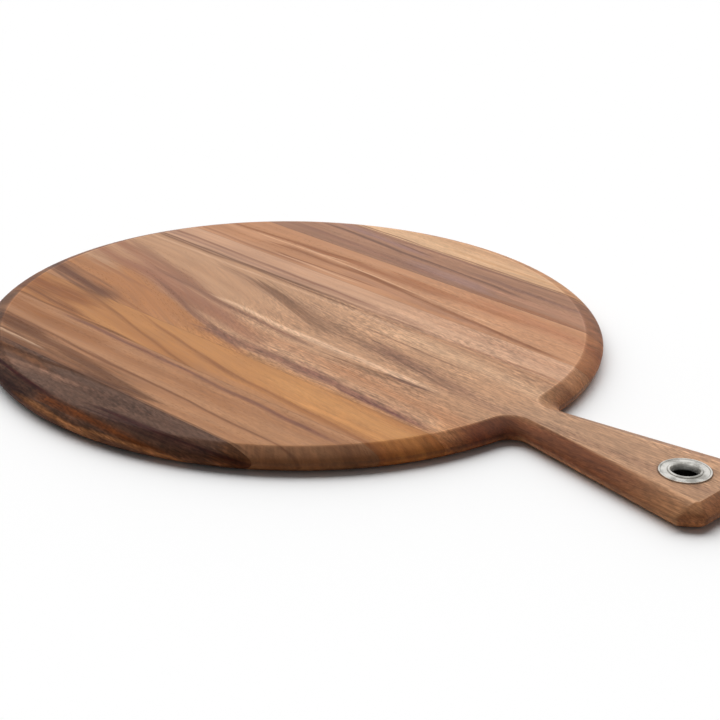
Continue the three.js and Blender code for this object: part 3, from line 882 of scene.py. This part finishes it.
def platedMetal(name):
    mat, tree, shader = newMaterial(name)
    place = node(tree, "TexCoord").outputs["Object"]
    centred = node(tree, "Mapping", {"Vector": place, "Location": (-eyeletX / mm, 0, -topFace / mm),
                                     "Scale": (1 / mm, 1 / mm, 1 / mm)}).outputs[0]
    x, y, z = node(tree, "SeparateXYZ", {0: centred}).outputs
    radius = distance(tree, x, y)

    def nearRing(middle, reach):
        return ease(tree, calc(tree, "ABSOLUTE", minus(tree, radius, middle)), reach, 0.0)

    # turning marks run round the axis, and tarnish stays in the corners beside lip and bead
    marks = noise(tree, (radius, z, plate["marksAt"]), plate["markScale"], plate["detail"])
    cloud = noise(tree, (x, y, z), plate["cloudScale"], plate["detail"])
    grime = noise(tree, (x, y, z), plate["grimeScale"], plate["detail"])
    nearLip = nearRing(lipOuter / mm + plate["cornerShift"], plate["lipDirt"])
    nearBead = nearRing(beadInner / mm - plate["cornerShift"], plate["beadDirt"])
    dirt = times(tree, calc(tree, "MAXIMUM", nearLip, nearBead), ease(tree, grime, *plate["grime"]))
    # the cloudy patches are tarnish that also stands in for uneven reflections: painted reflection
    base = mixColour(tree, ease(tree, cloud, *plate["clouds"]), plate["silver"], plate["tarnishAndDimReflection"])
    base = mixColour(tree, dirt, base, plate["tarnishAndDimReflection"])

    # the bore is dull below its mouth, and further down it is painted black as shade
    inside = ease(tree, radius, *(eyelet["bore"] / mm + edge for edge in plate["boreEdge"]))
    base = mixColour(tree, times(tree, ease(tree, z, *plate["boreShadowDepth"]), inside), base, plate["boreShadow"])
    rough = ease(tree, cloud, *plate["roughEdge"], *plate["rough"])
    rough = plus(tree, rough, times(tree, calc(tree, "MAXIMUM", dirt, inside), plate["dullness"]))
    bump = node(tree, "Bump", {"Height": marks, "Strength": plate["bump"], "Distance": plate["bumpHeight"]})
    feed(tree, shader, {"Base Color": base, "Roughness": rough, "Normal": bump.outputs[0]})
    shader.inputs["Metallic"].default_value = 1.0
    return mat


nickel = platedMetal("nickelPlate")
addPiece(makeEyelet(), "eyelet_ring", "eyelet", nickel)
addPiece(makeWasher(), "eyelet_washer_ring", "eyelet_washer", nickel)
print("eyelet and washer set")

# Stage: a white table, soft light from above and the camera

stage = {"size": 8.0, "white": (0.97, 0.97, 0.97, 1.0), "bounce": (0.60, 0.59, 0.58, 1.0), "rough": 0.9}


def seenDirectly(tree):
    # 1 for rays that show the stage as a background, 0 for light that it gives back
    path = node(tree, "LightPath").outputs
    seen = plus(tree, path["Is Camera Ray"], path["Is Glossy Ray"])
    seen = plus(tree, seen, path["Is Transmission Ray"])
    return calc(tree, "MINIMUM", seen, 1.0)


def makeFloor():
    bm = bmesh.new()
    bmesh.ops.create_grid(bm, x_segments=1, y_segments=1, size=stage["size"] / 2)
    mesh = bpy.data.meshes.new("table")
    bm.to_mesh(mesh)
    bm.free()
    floor = bpy.data.objects.new("table", mesh)
    bpy.context.scene.collection.objects.link(floor)
    mat, tree, shader = newMaterial("whiteTable")
    shader.inputs["Roughness"].default_value = stage["rough"]
    shader.inputs["Specular IOR Level"].default_value = 0.0
    feed(tree, shader, {"Base Color": mixColour(tree, seenDirectly(tree), stage["bounce"], stage["white"])})
    mesh.materials.append(mat)


lights = {"sun": 4.78, "sunSpread": 100, "sunAzimuth": 145, "sunTilt": 54, "sky": 0.12}


def makeLights():
    lamp = bpy.data.lights.new("softbox", "SUN")
    lamp.energy = lights["sun"]
    lamp.angle = math.radians(lights["sunSpread"])
    overhead = bpy.data.objects.new("softbox", lamp)
    overhead.rotation_euler = (0, math.radians(lights["sunTilt"]), math.radians(lights["sunAzimuth"]))
    overhead.visible_glossy = False  # the white stage alone gives the sheen
    bpy.context.scene.collection.objects.link(overhead)
    world = bpy.data.worlds.new("studio")
    world.use_nodes = True
    bpy.context.scene.world = world
    tree = world.node_tree
    back = tree.nodes["Background"]
    back.inputs["Color"].default_value = (1, 1, 1, 1)
    level = ease(tree, seenDirectly(tree), 0.0, 1.0, lights["sky"], 1.0)
    tree.links.new(level, back.inputs["Strength"])


camera = {"eye": (0.7170, -0.7068, 0.4244), "target": (0.0436, 0.0094, -0.0038), "roll": 1.32,
          "focalPixels": 1877, "frame": 720, "sensor": 36.0, "nearest": 0.01, "farthest": 50}


def makeCamera():
    lens = bpy.data.cameras.new("camera")
    lens.sensor_width = camera["sensor"]
    lens.lens = camera["focalPixels"] / camera["frame"] * camera["sensor"]
    lens.clip_start, lens.clip_end = camera["nearest"], camera["farthest"]
    view = bpy.data.objects.new("camera", lens)
    forward = (Vector(camera["target"]) - Vector(camera["eye"])).normalized()
    turn = forward.to_track_quat("-Z", "Y").to_matrix().to_4x4()
    roll = Matrix.Rotation(math.radians(camera["roll"]), 4, "Z")
    view.matrix_world = Matrix.Translation(camera["eye"]) @ turn @ roll
    bpy.context.scene.collection.objects.link(view)
    bpy.context.scene.camera = view


makeFloor()
makeLights()
makeCamera()
bpy.context.scene.view_settings.view_transform = "Standard"
print("stage set")
